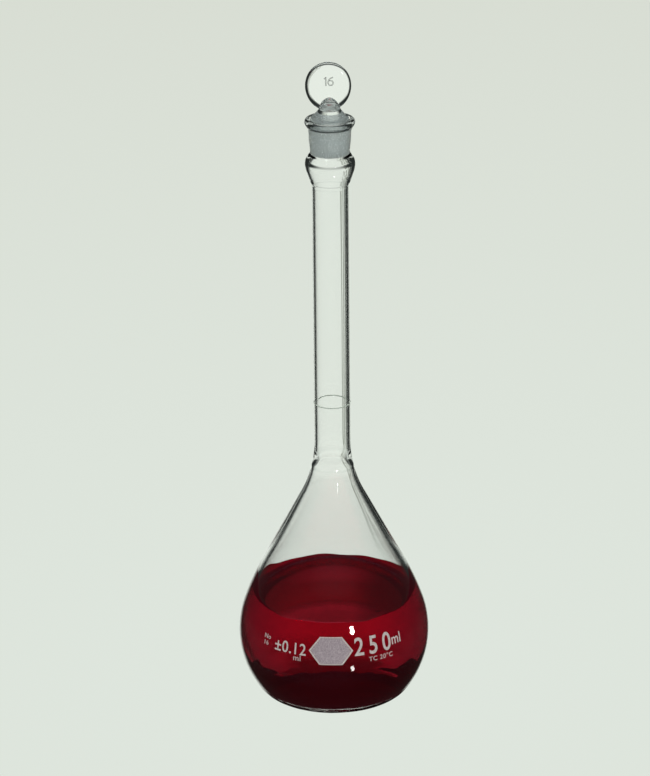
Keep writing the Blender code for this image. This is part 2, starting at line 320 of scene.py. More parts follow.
def new_material(name):
    mat = bpy.data.materials.new(name)
    mat.use_nodes = True
    return mat, mat.node_tree, mat.node_tree.nodes["Principled BSDF"]


def split_place(tree, coordinates="Object"):
    """The X, Y and Z outputs of the object coordinates, or of the others that are named."""
    place = add_node(tree, "ShaderNodeTexCoord")
    split = add_node(tree, "ShaderNodeSeparateXYZ")
    link(place.outputs[coordinates], split.inputs["Vector"])
    return split.outputs


def distance_from_axis(tree):
    """Distance from the object's own upright axis."""
    place = add_node(tree, "ShaderNodeTexCoord")
    flat = add_node(tree, "ShaderNodeVectorMath", {1: (1.0, 1.0, 0.0)}, operation="MULTIPLY")
    length = add_node(tree, "ShaderNodeVectorMath", operation="LENGTH")
    link(place.outputs["Object"], flat.inputs[0])
    link(flat.outputs["Vector"], length.inputs[0])
    return length.outputs["Value"]


def noise(tree, scale, detail=3.0, stretch=(1.0, 1.0, 1.0)):
    """Noise in object coordinates. Its scale is in features per metre."""
    place = add_node(tree, "ShaderNodeTexCoord")
    mapping = add_node(tree, "ShaderNodeMapping", {"Scale": stretch})
    made = add_node(tree, "ShaderNodeTexNoise", {"Scale": scale, "Detail": detail})
    link(place.outputs["Object"], mapping.inputs["Vector"])
    link(mapping.outputs["Vector"], made.inputs["Vector"])
    return made.outputs["Fac"]


def ramp(tree, value, stops):
    """A colour ramp over value, from (position, colour) stops."""
    made = add_node(tree, "ShaderNodeValToRGB")
    elements = made.color_ramp.elements
    for element, (position, colour) in zip(elements, (stops[0], stops[-1])):
        element.position = position
        element.color = (*colour, 1.0)
    for position, colour in stops[1:-1]:
        elements.new(position).color = (*colour, 1.0)
    link(value, made.inputs["Fac"])
    return made.outputs["Color"]


def between(tree, value, span, low=0.0, high=1.0, curve="LINEAR"):
    """Goes from low to high while value goes from one end of the span to the other."""
    ends = {"From Min": span[0], "From Max": span[1], "To Min": low, "To Max": high}
    made = add_node(tree, "ShaderNodeMapRange", ends, interpolation_type=curve)
    link(value, made.inputs["Value"])
    return made.outputs["Result"]


def calculate(tree, operation, first, second, **settings):
    """A Math node on two outputs."""
    made = add_node(tree, "ShaderNodeMath", operation=operation, **settings)
    link(first, made.inputs[0])
    link(second, made.inputs[1])
    return made.outputs["Value"]


def show_mix(tree, share, first, second, output="Material Output"):
    """Shows the first shader where share is 0, and the second where it is 1."""
    mix = add_node(tree, "ShaderNodeMixShader")
    link(share, mix.inputs["Fac"])
    link(first, mix.inputs[1])
    link(second, mix.inputs[2])
    link(mix.outputs["Shader"], tree.nodes[output].inputs["Surface"])


def bump(tree, shader, value, strength, distance):
    made = add_node(tree, "ShaderNodeBump", {"Strength": strength, "Distance": distance})
    link(value, made.inputs["Height"])
    link(made.outputs["Normal"], shader.inputs["Normal"])
    return made


def set_clear(shader, ior):
    """Smooth and wholly clear."""
    set_inputs(shader, {"Transmission Weight": 1.0, "Roughness": 0.0, "IOR": ior})


def clear_glass(name, ior=GLASS_IOR, waviness=DRY_WAVINESS):
    """Blown glass: clear, faintly green, with the slow waviness that lamp work leaves."""
    mat, tree, shader = new_material(name)
    set_clear(shader, ior)
    tint = ramp(tree, noise(tree, GLASS_TINT_SCALE), GLASS_TINTS)
    link(tint, shader.inputs["Base Color"])
    bump(tree, shader, noise(tree, WAVE_SCALE, stretch=WAVE_STRETCH), waviness, WAVE_HEIGHT)
    return mat


def add_heel_ripples(mat):
    """The uneven heel of the bulb, where the hot glass was pressed flat."""
    tree = mat.node_tree
    shader = tree.nodes["Principled BSDF"]
    waves = shader.inputs["Normal"].links[0].from_socket
    low = between(tree, split_place(tree)["Z"], RIPPLE_FADE_Z, 1.0, 0.0)
    ring = between(tree, distance_from_axis(tree), RIPPLE_START_RADII)
    height = noise(tree, RIPPLE_SCALE, detail=2.0)
    for mask in (low, ring):
        height = calculate(tree, "MULTIPLY", height, mask)
    ripples = bump(tree, shader, height, 1.0, RIPPLE_HEIGHT)
    link(waves, ripples.inputs["Normal"])


def wetted_glass(name):
    """The inner face that the solution wets, with painted shade: darker where light crosses it at a
    slant, which darkens the ball's sides.
    """
    mat = clear_glass(name, ior=GLASS_IOR / WATER_IOR, waviness=WET_WAVINESS)
    tree = mat.node_tree
    # slant = add_node(tree, "ShaderNodeLayerWeight", {"Blend": 0.5})
    slant = add_node(tree, "ShaderNodeLayerWeight", {"Blend": 0.5})
    # Painted shade: the colour darkens with the slant of the view, shading the sides of the ball.
    shade = ramp(tree, slant.outputs["Facing"], SLANT_PAINTED_SHADE)
    link(shade, tree.nodes["Principled BSDF"].inputs["Base Color"])
    return mat


def ground_glass(name):
    """Ground joint: a fine mat surface, whiter where the grinding bit deeper."""
    mat, tree, shader = new_material(name)
    shader.inputs["IOR"].default_value = GLASS_IOR
    grain = noise(tree, GROUND_GRAIN_SCALE, detail=6.0)
    bands = noise(tree, GROUND_BAND_SCALE, stretch=GROUND_BAND_STRETCH)
    link(ramp(tree, bands, GROUND_TINTS), shader.inputs["Base Color"])
    clearness = between(tree, grain, (0.0, 1.0), *GROUND_CLEARNESS)
    link(clearness, shader.inputs["Transmission Weight"])
    roughness = between(tree, grain, (0.0, 1.0), *GROUND_ROUGHNESS)
    link(roughness, shader.inputs["Roughness"])
    bump(tree, shader, grain, 0.2, GROUND_GRAIN_HEIGHT)
    return mat


def fused_seam(name):
    """The face where two pieces are melted together: light crosses it unbent."""
    mat, tree, shader = new_material(name)
    set_clear(shader, 1.0)
    haze = ramp(tree, noise(tree, SEAM_HAZE_SCALE), SEAM_TINTS)
    link(haze, shader.inputs["Base Color"])
    return mat


def solution(name, ior):
    """Red solution: it takes nearly all the green and the blue within a few millimetres, and has a
    faint painted red glow.
    """
    mat, tree, shader = new_material(name)
    set_clear(shader, ior)
    # Painted glow: a faint red emission of the solution itself, not light from any lamp.
    glow = {"Emission Color": PAINTED_GLOW_COLOUR, "Emission Strength": PAINTED_GLOW_STRENGTH}
    set_inputs(shader, {"Base Color": (*WHITE, 1.0), **glow})
    mat.cycles.emission_sampling = "NONE"
    dye = {"Color": DYE_COLOUR, "Density": DYE_DENSITY}
    depth = add_node(tree, "ShaderNodeVolumeAbsorption", dye)
    link(depth.outputs["Volume"], tree.nodes["Material Output"].inputs["Volume"])
    return mat


def solution_top(name):
    """The solution's free surface, which bends light and is barely rippled."""
    mat = solution(name, WATER_IOR)
    tree = mat.node_tree
    shader = tree.nodes["Principled BSDF"]
    shader.inputs["Specular Tint"].default_value = SURFACE_REFLECTION
    bump(tree, shader, noise(tree, SURFACE_WAVE_SCALE), 0.01, SURFACE_WAVE_HEIGHT)
    return mat


def enamel(name, tones, grain_scale, clearness=0.0):
    """Fired enamel: mat, with the speckle of its screen print. A thin one lets light through."""
    mat, tree, shader = new_material(name)
    grain = noise(tree, grain_scale, detail=8.0)
    low, high = tones
    link(ramp(tree, grain, [(0.38, low), (0.62, high)]), shader.inputs["Base Color"])
    values = {"Roughness": 0.62, "Specular IOR Level": 0.3, "Transmission Weight": clearness}
    set_inputs(shader, values)
    bump(tree, shader, grain, 0.3, ENAMEL_GRAIN_HEIGHT)
    return mat


# --- Profiles, as lists of (radius, height) ---


def arc(centre, radius, start, end, count):
    """Points on an arc, from one angle to the other, both ends included."""
    steps = [start + (end - start) * i / count for i in range(count + 1)]
    return [(centre[0] + radius * math.cos(a), centre[1] + radius * math.sin(a)) for a in steps]


def straight_line(start, end, count):
    parts = [i / count for i in range(count + 1)]
    return [(start[0] + (end[0] - start[0]) * t, start[1] + (end[1] - start[1]) * t) for t in parts]


def smooth_curve(points, steps=CURVE_STEPS):
    """A Catmull-Rom curve through the points, with this many steps between each two."""
    padded = [points[0], *points, points[-1]]
    curve = []
    for a, b, c, d in zip(padded, padded[1:], padded[2:], padded[3:]):
        for i in range(steps):
            t = i / steps
            weights = (
                (-t + 2 * t**2 - t**3) / 2,
                (2 - 5 * t**2 + 3 * t**3) / 2,
                (t + 4 * t**2 - 3 * t**3) / 2,
                (-(t**2) + t**3) / 2,
            )
            curve.append(tuple(sum(w * p[k] for w, p in zip(weights, (a, b, c, d))) for k in (0, 1)))
    return [*curve, points[-1]]


def blend(low, high, value):
    """0 below low, 1 above high, and a smooth step between them."""
    t = min(max((value - low) / (high - low), 0.0), 1.0)
    return t * t * (3 - 2 * t)


def bell_curve(value, spread):
    """1 at 0, and close to 0 at three spreads either side of it."""
    return math.exp(-((value / spread) ** 2))


def split_at(profile, height):
    """The stretches below and above a height, which the profile rises through once."""
    rises = [z0 < height <= z1 for (_, z0), (_, z1) in zip(profile, profile[1:])]
    i = rises.index(True)
    (r0, z0), (r1, z1) = profile[i], profile[i + 1]
    cut = (r0 + (r1 - r0) * (height - z0) / (z1 - z0), height)
    return [*profile[: i + 1], cut], [cut, *profile[i + 1 :]]


def offset_inwards(profile, wall_at):
    """The inner surface of a wall, wall_at(z) thick, whose outer profile runs up from the axis."""
    inner = []
    for i, (r, z) in enumerate(profile):
        before = profile[max(i - 1, 0)]
        after = profile[min(i + 1, len(profile) - 1)]
        along_r = after[0] - before[0]
        along_z = after[1] - before[1]
        length = math.hypot(along_r, along_z)
        wall = wall_at(z)
        inner.append((max(r - wall * along_z / length, 0.0), z + wall * along_r / length))
    inner[0] = (0.0, inner[0][1])
    return inner


def flask_outside():
    """The outer profile of bulb and neck, from the middle of the foot to the upper seal."""
    ball_reach = BULB_RADIUS - HEEL_RADIUS
    heel_r = math.sqrt(ball_reach**2 - (BULB_CENTRE_Z - HEEL_RADIUS) ** 2)
    heel_end = math.atan2(HEEL_RADIUS - BULB_CENTRE_Z, heel_r)
    push_up_r = heel_r - FOOT_FLAT_WIDTH
    parts = [i / FOOT_STEPS for i in range(FOOT_STEPS + 1)]
    foot = [(push_up_r * t, PUSH_UP_HEIGHT * (1 - blend(0, 1, t))) for t in parts]
    heel = arc((heel_r, HEEL_RADIUS), HEEL_RADIUS, -math.pi / 2, heel_end, HEEL_STEPS)
    ball = arc((0.0, BULB_CENTRE_Z), BULB_RADIUS, heel_end, SHOULDER_START, BALL_STEPS)
    shoulder_shift = BULB_RADIUS - SHOULDER_RADIUS
    middle = (
        shoulder_shift * math.cos(SHOULDER_START),
        BULB_CENTRE_Z + shoulder_shift * math.sin(SHOULDER_START),
    )
    shoulder = arc(middle, SHOULDER_RADIUS, SHOULDER_START, CONE_HALF_ANGLE, SHOULDER_STEPS)
    # The flare's centre lies outside the neck, at one flare radius from both cone and neck.
    cone_reach = SHOULDER_RADIUS + FLARE_RADIUS
    cone_reach += middle[0] * math.cos(CONE_HALF_ANGLE)
    cone_reach += middle[1] * math.sin(CONE_HALF_ANGLE)
    flare_r = NECK_RADIUS + FLARE_RADIUS
    flare_z = (cone_reach - flare_r * math.cos(CONE_HALF_ANGLE)) / math.sin(CONE_HALF_ANGLE)
    flare_start = math.pi + CONE_HALF_ANGLE
    flare = arc((flare_r, flare_z), FLARE_RADIUS, flare_start, math.pi, FLARE_STEPS)
    cone = straight_line(shoulder[-1], flare[0], CONE_STEPS)
    neck = straight_line(flare[-1], (NECK_RADIUS, UPPER_SEAL_Z + SEAL_REACH), NECK_STEPS)
    profile = [*foot, *heel, *ball[1:], *shoulder[1:], *cone[1:], *flare[1:], *neck[1:]]
    return [(r + BEAD_HEIGHT * bell_curve(z - LOWER_SEAL_Z, BEAD_SPREAD), z) for r, z in profile]


def flask_wall(z):
    """Wall thickness: thickest in the foot, even in the ball, thinner up the cone to the neck."""
    low = FOOT_WALL + (BULB_WALL - FOOT_WALL) * blend(0.0, HEEL_RADIUS, z)
    seal = SEAL_WALL_EXTRA * bell_curve(z - LOWER_SEAL_Z - SEAL_WALL_SPREAD, SEAL_WALL_SPREAD)
    return low + (NECK_WALL - low) * blend(WALL_BLEND_START_Z, WALL_BLEND_END_Z, z) + seal


def flask_inside(gap=0.0):
    """The inner profile of bulb and neck, or one that stays this far inside it."""
    return offset_inwards(flask_outside(), lambda z: flask_wall(z) + gap)


def plug_radius(z):
    return PLUG_TOP_RADIUS - TAPER_PER_SIDE * (PLUG_TOP_Z - z)


def socket_outside():
    """From the upper seal to the top of the rim."""
    seal_top = SOCKET_START_Z - SEAL_REACH
    return smooth_curve(
        [
            (NECK_RADIUS, seal_top),
            (NECK_RADIUS + 0.08 * MM, seal_top + 0.6 * MM),
            (BELL_FOOT_RADIUS, seal_top + 1.6 * MM),
            (BELL_RADIUS - 1.6 * MM, BELL_Z - 6.4 * MM),
            (BELL_RADIUS - 0.3 * MM, BELL_Z - 2.2 * MM),
            (BELL_RADIUS, BELL_Z),
            (BELL_RADIUS - 0.3 * MM, BELL_Z + 2.1 * MM),
            (SOCKET_FOOT_RADIUS + 0.9 * MM, SOCKET_FOOT_Z - 2.0 * MM),
            (SOCKET_FOOT_RADIUS + 0.05 * MM, SOCKET_FOOT_Z),
            (SOCKET_TOP_RADIUS - 0.06 * MM, SOCKET_TOP_Z - 3.4 * MM),
            (SOCKET_TOP_RADIUS + 0.04 * MM, SOCKET_TOP_Z - 0.4 * MM),
            (SOCKET_TOP_RADIUS + 0.4 * MM, SOCKET_TOP_Z + 1.5 * MM),
            (SOCKET_TOP_RADIUS + 0.95 * MM, SOCKET_TOP_Z + 2.7 * MM),
            (RIM_RADIUS - 0.25 * MM, RIM_WIDEST_Z - 0.95 * MM),
            (RIM_RADIUS, RIM_WIDEST_Z),
            (RIM_RADIUS - 0.35 * MM, RIM_Z - 0.35 * MM),
            (RIM_RADIUS - 1.1 * MM, RIM_Z),
        ]
    )


def socket_inside():
    """The clear mouth, the ground taper and the clear bell, from the rim down to the seal."""
    taper_top = RIM_Z - 0.7 * MM
    ground_top = RIM_Z - GROUND_START
    taper_foot = SOCKET_FOOT_Z - 1.1 * MM
    bore = NECK_RADIUS - NECK_WALL
    widest = BELL_RADIUS - BELL_WALL
    taper = [(plug_radius(z) + GRIND_CLEARANCE, z) for z in (taper_top, ground_top, taper_foot)]
    mouth = smooth_curve(
        [
            (plug_radius(RIM_Z) + 0.75 * MM, RIM_Z),
            (plug_radius(RIM_Z) + 0.25 * MM, RIM_Z - 0.2 * MM),
            taper[0],
        ]
    )
    mouth += straight_line(taper[0], taper[1], MOUTH_STEPS)[1:]
    ground = straight_line(taper[1], taper[2], GROUND_STEPS)
    bell = smooth_curve(
        [
            ground[-1],
            (plug_radius(taper_foot) + 0.1 * MM, taper_foot - 1.3 * MM),
            (widest - 0.85 * MM, BELL_Z + 1.9 * MM),
            (widest - 0.1 * MM, BELL_Z + 0.2 * MM),
            (widest - 0.1 * MM, BELL_Z - 1.8 * MM),
            (widest - 0.8 * MM, BELL_Z - 4.6 * MM),
            (widest - 1.4 * MM, BELL_Z - 6.4 * MM),
            (bore + 0.4 * MM, SOCKET_START_Z + 1.8 * MM),
            (bore + 0.06 * MM, SOCKET_START_Z + 0.7 * MM),
            (bore, SOCKET_START_Z - SEAL_REACH),
        ]
    )
    return mouth, ground, bell


def solution_profile():
    """(top, side) of the solution: the flat top with its meniscus, and the wetted side."""
    side, _ = split_at(flask_inside(SOLUTION_GAP), CONTACT_Z)
    edge_r = side[-1][0]
    middle = np.linspace(0.0, 1 - SURFACE_EDGE_SHARE, SURFACE_POINTS)
    to_edge = 1 - np.linspace(0.0, 1.0, SURFACE_EDGE_POINTS)
    outer = 1 - SURFACE_EDGE_SHARE * to_edge**2
    top = []
    for r in np.concatenate([middle, outer[1:]]) * edge_r:
        climb = MENISCUS_RISE * math.exp(-(edge_r - r) / MENISCUS_REACH)
        top.append((float(r), SOLUTION_Z + climb))
    return top, side[::-1]


def film_rise(angle):
    """How far the film reaches above the meniscus: most at the left and right, least in front."""
    waves = sum(height * math.sin(count * angle + phase) for height, count, phase in FILM_WAVES)
    narrowing = FILM_NARROWING_BACK if math.sin(angle) > 0 else FILM_NARROWING_FRONT
    return FILM_RISE * abs(math.cos(angle)) ** narrowing + waves


def film_warp(follows_top):
    """Moves points of the wall, and of the meniscus, up along the wall to the edge of the film."""
    wall = [(z, r) for r, z in flask_inside() if FILM_WALL_LOW_Z < z < FILM_WALL_HIGH_Z]
    heights, radii = zip(*wall)

    def warp(r, z, angle):
        wall_r = np.interp(z, heights, radii)
        if follows_top and r < wall_r - 2 * SOLUTION_GAP:
            share = (z - SOLUTION_Z) / MENISCUS_RISE
        elif z < CONTACT_Z:
            share = 1 - (CONTACT_Z - z) / FILM_STRETCH_BELOW
        else:
            share = 1 - (z - CONTACT_Z) / FILM_STRETCH_ABOVE
        if share <= 0 or r > wall_r + SOLUTION_GAP:
            return r, z
        lifted = z + film_rise(angle) * share
        return r + np.interp(lifted, heights, radii) - wall_r, lifted

    return warp


# --- Turned pieces ---


def add_object(name, mesh, materials):
    obj = bpy.data.objects.new(name, mesh)
    for mat in materials:
        mesh.materials.append(mat)
    bpy.context.scene.collection.objects.link(obj)
    return obj


def finished(name, shape, materials, sharp_degrees=35.0):
    """The object of a bmesh: faces out, smooth, and with its sharp edges kept."""
    bmesh.ops.recalc_face_normals(shape, faces=shape.faces)
    mesh = bpy.data.meshes.new(name)
    shape.to_mesh(mesh)
    shape.free()
    mesh.shade_smooth()
    mesh.set_sharp_from_angle(angle=math.radians(sharp_degrees))
    return add_object(name, mesh, materials)


def join_rings(shape, first, second, slot=0):
    """Faces between two rings of as many points. Two points may be one, on the axis."""
    for i in range(len(first)):
        j = (i + 1) % len(first)
        corners = dict.fromkeys([first[i], first[j], second[j], second[i]])
        shape.faces.new(corners).material_index = slot


def turned(name, stretches, materials, closed=False, warp=None):
    """A solid of revolution. Each stretch is (points, slot), and starts where the last ended."""
    points, slots = [], []
    for stretch, slot in stretches:
        fresh = stretch[1:] if points else stretch
        slots += [slot] * (len(stretch) - 1)
        points += fresh
    if closed:
        points = points[:-1]
    shape = bmesh.new()
    angles = [2 * math.pi * i / TURNED_STEPS for i in range(TURNED_STEPS)]
    rings = []
    for r, z in points:
        if r < TOUCH:
            rings.append([shape.verts.new((0.0, 0.0, z))] * TURNED_STEPS)
            continue
        ring = [(*warp(r, z, a), a) if warp else (r, z, a) for a in angles]
        rings.append([shape.verts.new((d * math.cos(a), d * math.sin(a), h)) for d, h, a in ring])
    pairs = list(zip(rings, rings[1:]))
    if closed:
        pairs.append((rings[-1], rings[0]))
    for (first, second), slot in zip(pairs, slots):
        join_rings(shape, first, second, slot)
    return finished(name, shape, materials)


def make_bulb(glass, wet_glass, seam):
    outside, _ = split_at(flask_outside(), LOWER_SEAL_Z + SEAL_REACH)
    inside, _ = split_at(flask_inside(), LOWER_SEAL_Z + SEAL_REACH)
    wet, dry = split_at(inside, CONTACT_Z)
    end = [dry[-1], outside[-1]]
    stretches = [(wet, 1), (dry, 0), (end, 2), (outside[::-1], 0)]
    return turned("bulb_glass", stretches, [glass, wet_glass, seam], warp=film_warp(False))


def make_neck(glass, seam):
    _, outside = split_at(flask_outside(), NECK_START_Z - SEAL_REACH)
    _, inside = split_at(flask_inside(), NECK_START_Z - SEAL_REACH)
    top = [inside[-1], outside[-1]]
    foot = [outside[0], inside[0]]
    stretches = [(inside, 0), (top, 1), (outside[::-1], 0), (foot, 1)]
    return turned("neck_glass", stretches, [glass, seam], closed=True)


def make_socket(glass, ground_mat, seam):
    mouth, ground, bell = socket_inside()
    outside = socket_outside()
    lip = [outside[-1], mouth[0]]
    foot = [bell[-1], outside[0]]
    stretches = [(mouth, 0), (ground, 1), (bell, 0), (foot, 2), (outside, 0), (lip, 0)]
    return turned("socket_glass", stretches, [glass, ground_mat, seam], closed=True)


def make_solution(side_mat, top_mat):
    top, side = solution_profile()
    stretches = [(top, 1), ([top[-1], *side[1:]], 0)]
    return turned("red_liquid", stretches, [side_mat, top_mat], warp=film_warp(True))


def make_line(mat):
    """The fired ring, with rounded edges."""
    inner = NECK_RADIUS + MARK_GAP
    middle_z = (LINE_LOW_Z + LINE_HIGH_Z) / 2
    half = (LINE_HIGH_Z - LINE_LOW_Z) / 2
    crown = []
    for i in range(LINE_CROWN_STEPS + 1):
        angle = math.pi * i / LINE_CROWN_STEPS
        r = inner + (LINE_RADIUS - inner) * math.sin(angle)
        crown.append((r, middle_z + half * math.cos(angle)))
    return turned("fired_line", [(crown, 0), ([crown[-1], crown[0]], 0)], [mat], closed=True)


# --- Stopper ---


def stem_radius():
    """(heights, radii) of the turned stem and plug, from the foot up."""
    stem = smooth_curve(
        [
            (0.0, STEM_TOP_Z),
            (1.9 * MM, STEM_TOP_Z - 0.35 * MM),
            (3.3 * MM, STEM_TOP_Z - 1.75 * MM),
            (WAIST_RADIUS - 0.2 * MM, WAIST_Z + 1.3 * MM),
            (WAIST_RADIUS, WAIST_Z),
            (WAIST_RADIUS + 0.5 * MM, WAIST_Z - 1.1 * MM),
            (WAIST_RADIUS + 1.5 * MM, WAIST_Z - 2.3 * MM),
            (PLUG_TOP_RADIUS - 1.55 * MM, PLUG_TOP_Z + 1.2 * MM),
            (PLUG_TOP_RADIUS - 1.0 * MM, PLUG_TOP_Z + 0.65 * MM),
            (PLUG_TOP_RADIUS - 0.35 * MM, PLUG_TOP_Z + 0.3 * MM),
            (PLUG_TOP_RADIUS - 0.02 * MM, PLUG_TOP_Z - 0.25 * MM),
        ],
        STEM_STEPS,
    )
    plug_high = PLUG_TOP_Z - 0.5 * MM
    plug_low = PLUG_FOOT_Z + PLUG_EDGE
    edge_r = plug_radius(plug_low)
    plug = straight_line((plug_radius(plug_high), plug_high), (edge_r, plug_low), PLUG_STEPS)
    edge = arc((edge_r - PLUG_EDGE, plug_low), PLUG_EDGE, 0.0, -math.pi / 2, PLUG_EDGE_STEPS)
    profile = [*stem, *plug, *edge[1:]][::-1]
    return np.array([z for _, z in profile]), np.array([r for r, _ in profile])


def head_distance(x, y, z):
    """Distance to the flat disc: a coin with rounded edges, taller in its lower half."""
    reach = np.where(z > HEAD_Z, HEAD_RISE, HEAD_DROP)
    rho = np.hypot(x - HEAD_X, (z - HEAD_Z) * HEAD_WIDTH / (2 * reach))
    across = rho - (HEAD_WIDTH / 2 - HEAD_EDGE_RADIUS)
    through = np.abs(y) - (HEAD_THICKNESS / 2 - HEAD_EDGE_RADIUS)
    outside = np.hypot(np.maximum(across, 0), np.maximum(through, 0))
    return outside + np.minimum(np.maximum(across, through), 0) - HEAD_EDGE_RADIUS


def stopper_distance(x, y, z, stem_r):
    """Distance to stem and disc together, with a fillet where they meet."""
    stem = np.hypot(x, y) - stem_r
    head = head_distance(x, y, z)
    share = np.clip(0.5 + 0.5 * (head - stem) / HEAD_FILLET, 0, 1)
    return head * (1 - share) + stem * share - HEAD_FILLET * share * (1 - share)


def stopper_levels(heights):
    """The heights of the rings: the plug's own, then closer ones up the waist and the disc."""
    waist_low = PLUG_TOP_Z - 0.4 * MM
    plug = heights[heights < waist_low - 0.05 * MM]
    waist = np.linspace(waist_low, HEAD_Z, 2 * HEAD_LEVELS)[:-1]
    head_angles = np.linspace(0.0, 1.0, HEAD_LEVELS) * math.pi / 2
    head = HEAD_Z + HEAD_RISE * np.sin(head_angles)[:-1]
    return np.concatenate([plug, waist, head])


def stopper_rings():
    """Rings of points from the plug's foot to the top of the disc, as arrays of (x, y, z)."""
    heights, radii = stem_radius()
    u = np.linspace(0, 2 * math.pi, HEAD_STEPS, endpoint=False)
    rings = []
    for z in stopper_levels(heights):
        above_stem = z - STEM_TOP_Z
        stem_r = np.interp(z, heights, radii) if above_stem < 0 else -ABOVE_STEM_SLOPE * above_stem
        flat = 1 - HEAD_FLATNESS * blend(WAIST_Z, WAIST_Z + HEAD_FLATNESS_RISE, z)
        angle = np.arctan2(flat * np.sin(u), np.cos(u))
        middle_x = HEAD_X * blend(WAIST_Z, HEAD_Z, z)
        low, high = np.zeros_like(u), np.full_like(u, HEAD_SEARCH_REACH)
        for _ in range(HEAD_SEARCH_STEPS):
            middle = (low + high) / 2
            x, y = middle_x + middle * np.cos(angle), middle * np.sin(angle)
            inside = stopper_distance(x, y, z, stem_r) < 0
            low = np.where(inside, middle, low)
            high = np.where(inside, high, middle)
        x, y = middle_x + low * np.cos(angle), low * np.sin(angle)
        rings.append(np.stack([x, y, np.full_like(u, z)], 1))
    return rings


def make_stopper(glass, ground_mat):
    """The stopper in one piece, ground on its foot and where the socket's ground taper is."""
    shape = bmesh.new()
    rings = stopper_rings()
    shares = [k / (PLUG_FOOT_RINGS + 1) for k in range(1, PLUG_FOOT_RINGS + 1)]
    foot = [rings[0] * (share, share, 1) for share in shares]
    loops = [[shape.verts.new(p) for p in ring] for ring in [*foot, *rings]]
    bottom = shape.verts.new((0.0, 0.0, PLUG_FOOT_Z))
    top = shape.verts.new((HEAD_X, 0.0, HEAD_TOP_Z))
    for first, second in zip(loops, loops[1:]):
        z = (first[0].co.z + second[0].co.z) / 2
        in_socket = PLUG_FOOT_Z + PLUG_EDGE < z < RIM_Z - GROUND_START
        join_rings(shape, first, second, 1 if z < PLUG_FOOT_Z + TOUCH or in_socket else 0)
    join_rings(shape, [bottom] * HEAD_STEPS, loops[0], 1)
    join_rings(shape, loops[-1], [top] * HEAD_STEPS)
    return finished("stopper_glass", shape, [glass, ground_mat], 50.0)


def rod(path, radius):
    """A round rod along a path of flat points (x, y), with rounded ends, as rings of points."""
    path = [Vector((x, 0.0, y)) for x, y in path]
    first = (path[1] - path[0]).normalized()
    last = (path[-1] - path[-2]).normalized()
    caps = [math.pi / 2 * i / ROD_CAP_STEPS for i in range(1, ROD_CAP_STEPS + 1)]
    rings = [(path[0] - first * radius * math.cos(a), first, radius * math.sin(a)) for a in caps]
    for before, point, after in zip(path, path[1:], path[2:]):
        rings.append((point, (after - before).normalized(), radius))
    for a in caps[::-1]:
        rings.append((path[-1] + last * radius * math.cos(a), last, radius * math.sin(a)))
    across = Vector((0.0, 1.0, 0.0))
    turns = [2 * math.pi * i / ROD_STEPS for i in range(ROD_STEPS)]
    return [
        [centre + r * (math.cos(t) * across + math.sin(t) * along.cross(across)) for t in turns]
        for centre, along, r in rings
    ]


def sixteen(height):
    """The strokes of a 16 centred on the origin, as paths of flat points."""
    half, loop_r = height / 2, 0.27 * height
    back_r = 2.4 * loop_r
    loop = arc((loop_r, loop_r - half), loop_r, -math.pi, 0.6 * math.pi, 26)
    back = arc((back_r, loop_r - half), back_r, 0.58 * math.pi, 0.97 * math.pi, 10)
    flag_x, stem_x = -1.5 * loop_r, -0.9 * loop_r
    one = [(flag_x, 0.5 * half), (stem_x, 0.85 * half), (stem_x, 0.0), (stem_x, -half)]
    return one, [*back, *loop[1:]]


def make_disc_mark(glass):
    """The joint size, 16, pressed into the disc as raised round strokes."""
    shape = bmesh.new()
    front = -HEAD_THICKNESS / 2 - DISC_STROKE_RADIUS - MARK_GAP
    place = Vector((HEAD_X, front, HEAD_Z + DISC_MARK_RISE))
    for path in sixteen(DISC_MARK_HEIGHT):
        rings = [[shape.verts.new(p + place) for p in ring] for ring in rod(path, DISC_STROKE_RADIUS)]
        for first, second in zip(rings, rings[1:]):
            join_rings(shape, first, second)
        shape.faces.new(rings[0])
        shape.faces.new(rings[-1])
    return finished("disc_size_mark", shape, [glass], 50.0)


# --- Fired marks ---


def cut_in_cells(shape, cell):
    """Cuts a flat mesh along a grid, so that it can follow a curved surface."""
    for axis in (0, 1):
        values = [v.co[axis] for v in shape.verts]
        normal = Vector((0.0, 0.0, 0.0))
        normal[axis] = 1.0
        for k in range(math.ceil(min(values) / cell), math.floor(max(values) / cell) + 1):
            bmesh.ops.bisect_plane(
                shape,
                geom=[*shape.verts, *shape.edges, *shape.faces],
                dist=TOUCH / 10,
                plane_co=k * cell * normal,
                plane_no=normal,
            )


def ball_place(latitude, azimuth):
    """Carries a point (x, y, height) of a flat mark to the ball, along the mark's own latitude."""

    def place(x, y, height):
        radius = BULB_RADIUS + MARK_GAP + height
        up = latitude + y / radius
        turn = azimuth + x / (radius * math.cos(latitude))
        level = radius * math.cos(up)
        z = BULB_CENTRE_Z + radius * math.sin(up)
        return Vector((level * math.sin(turn), -level * math.cos(turn), z))

    return place


def raise_mark(name, shape, mat, place):
    """Closes a flat mark into a thin sheet on the surface that place(x, y, height) describes."""
    bmesh.ops.remove_doubles(shape, verts=shape.verts, dist=TOUCH)
    front = list(shape.faces)
    copy = bmesh.ops.duplicate(shape, geom=[*shape.verts, *shape.edges, *shape.faces])
    twins = {a: b for a, b in copy["vert_map"].items() if isinstance(a, bmesh.types.BMVert)}
    rim = [e for face in front for e in face.edges if len(e.link_faces) == 1]
    originals = {v for face in front for v in face.verts}
    for face in front:
        face.normal_flip()
    for edge in rim:
        a, b = edge.verts
        shape.faces.new([a, b, twins[b], twins[a]])
    for vert in originals:
        x, y = vert.co.x, vert.co.y
        vert.co = place(x, y, 0.0)
        twins[vert].co = place(x, y, MARK_THICKNESS)
    return finished(name, shape, [mat], 40.0)


